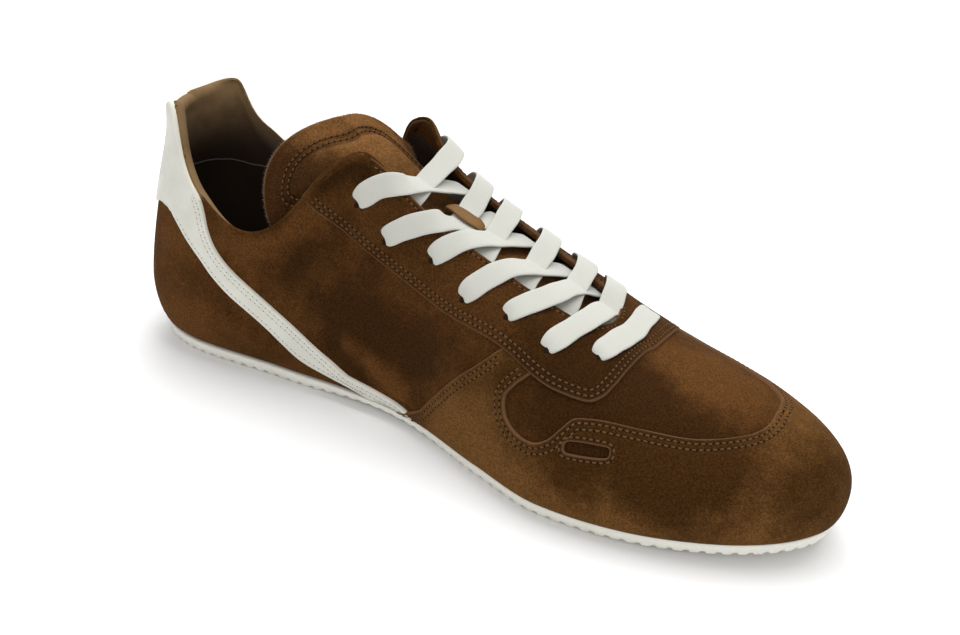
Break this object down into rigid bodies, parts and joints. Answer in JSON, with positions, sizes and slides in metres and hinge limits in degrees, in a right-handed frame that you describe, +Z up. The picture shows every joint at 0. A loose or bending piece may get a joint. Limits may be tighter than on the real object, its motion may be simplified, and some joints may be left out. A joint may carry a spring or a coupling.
{
  "type": "suede sneaker",
  "caption": "Low lace-up suede sneaker for the left foot: hollow lasted upper with soft tongue, flat cotton lace and plain white heel strap on a thin toothed rubber sole.",
  "frame": {"origin": "middle of the shoe's box, on the floor under the sole", "axes": "+X from heel to toe, +Y to the outer side of the left foot, +Z up"},
  "size_m": [0.288, 0.0982, 0.104],
  "materials": {
    "suede": "brushed brown nap, matt",
    "tongue_suede": "brushed brown nap, raw edge",
    "sole_rubber": "satin off-white rubber",
    "sock_lining": "dark matt cloth",
    "lace_cotton": "flat woven off-white cotton",
    "keeper_leather": "smooth tan leather",
    "heel_leather": "smooth white leather",
    "lining_leather": "smooth taupe lining leather"
  },
  "bodies": {
    "root": {"outsole": "sole_rubber", "insole": "sock_lining", "upper": "suede", "tongue": "tongue_suede", "tongue_keeper": "keeper_leather", "lace_1": "lace_cotton", "lace_2": "lace_cotton", "lace_3": "lace_cotton", "lace_4": "lace_cotton", "lace_5": "lace_cotton", "lace_6": "lace_cotton", "lace_7": "lace_cotton"}
  },
  "joints": []
}
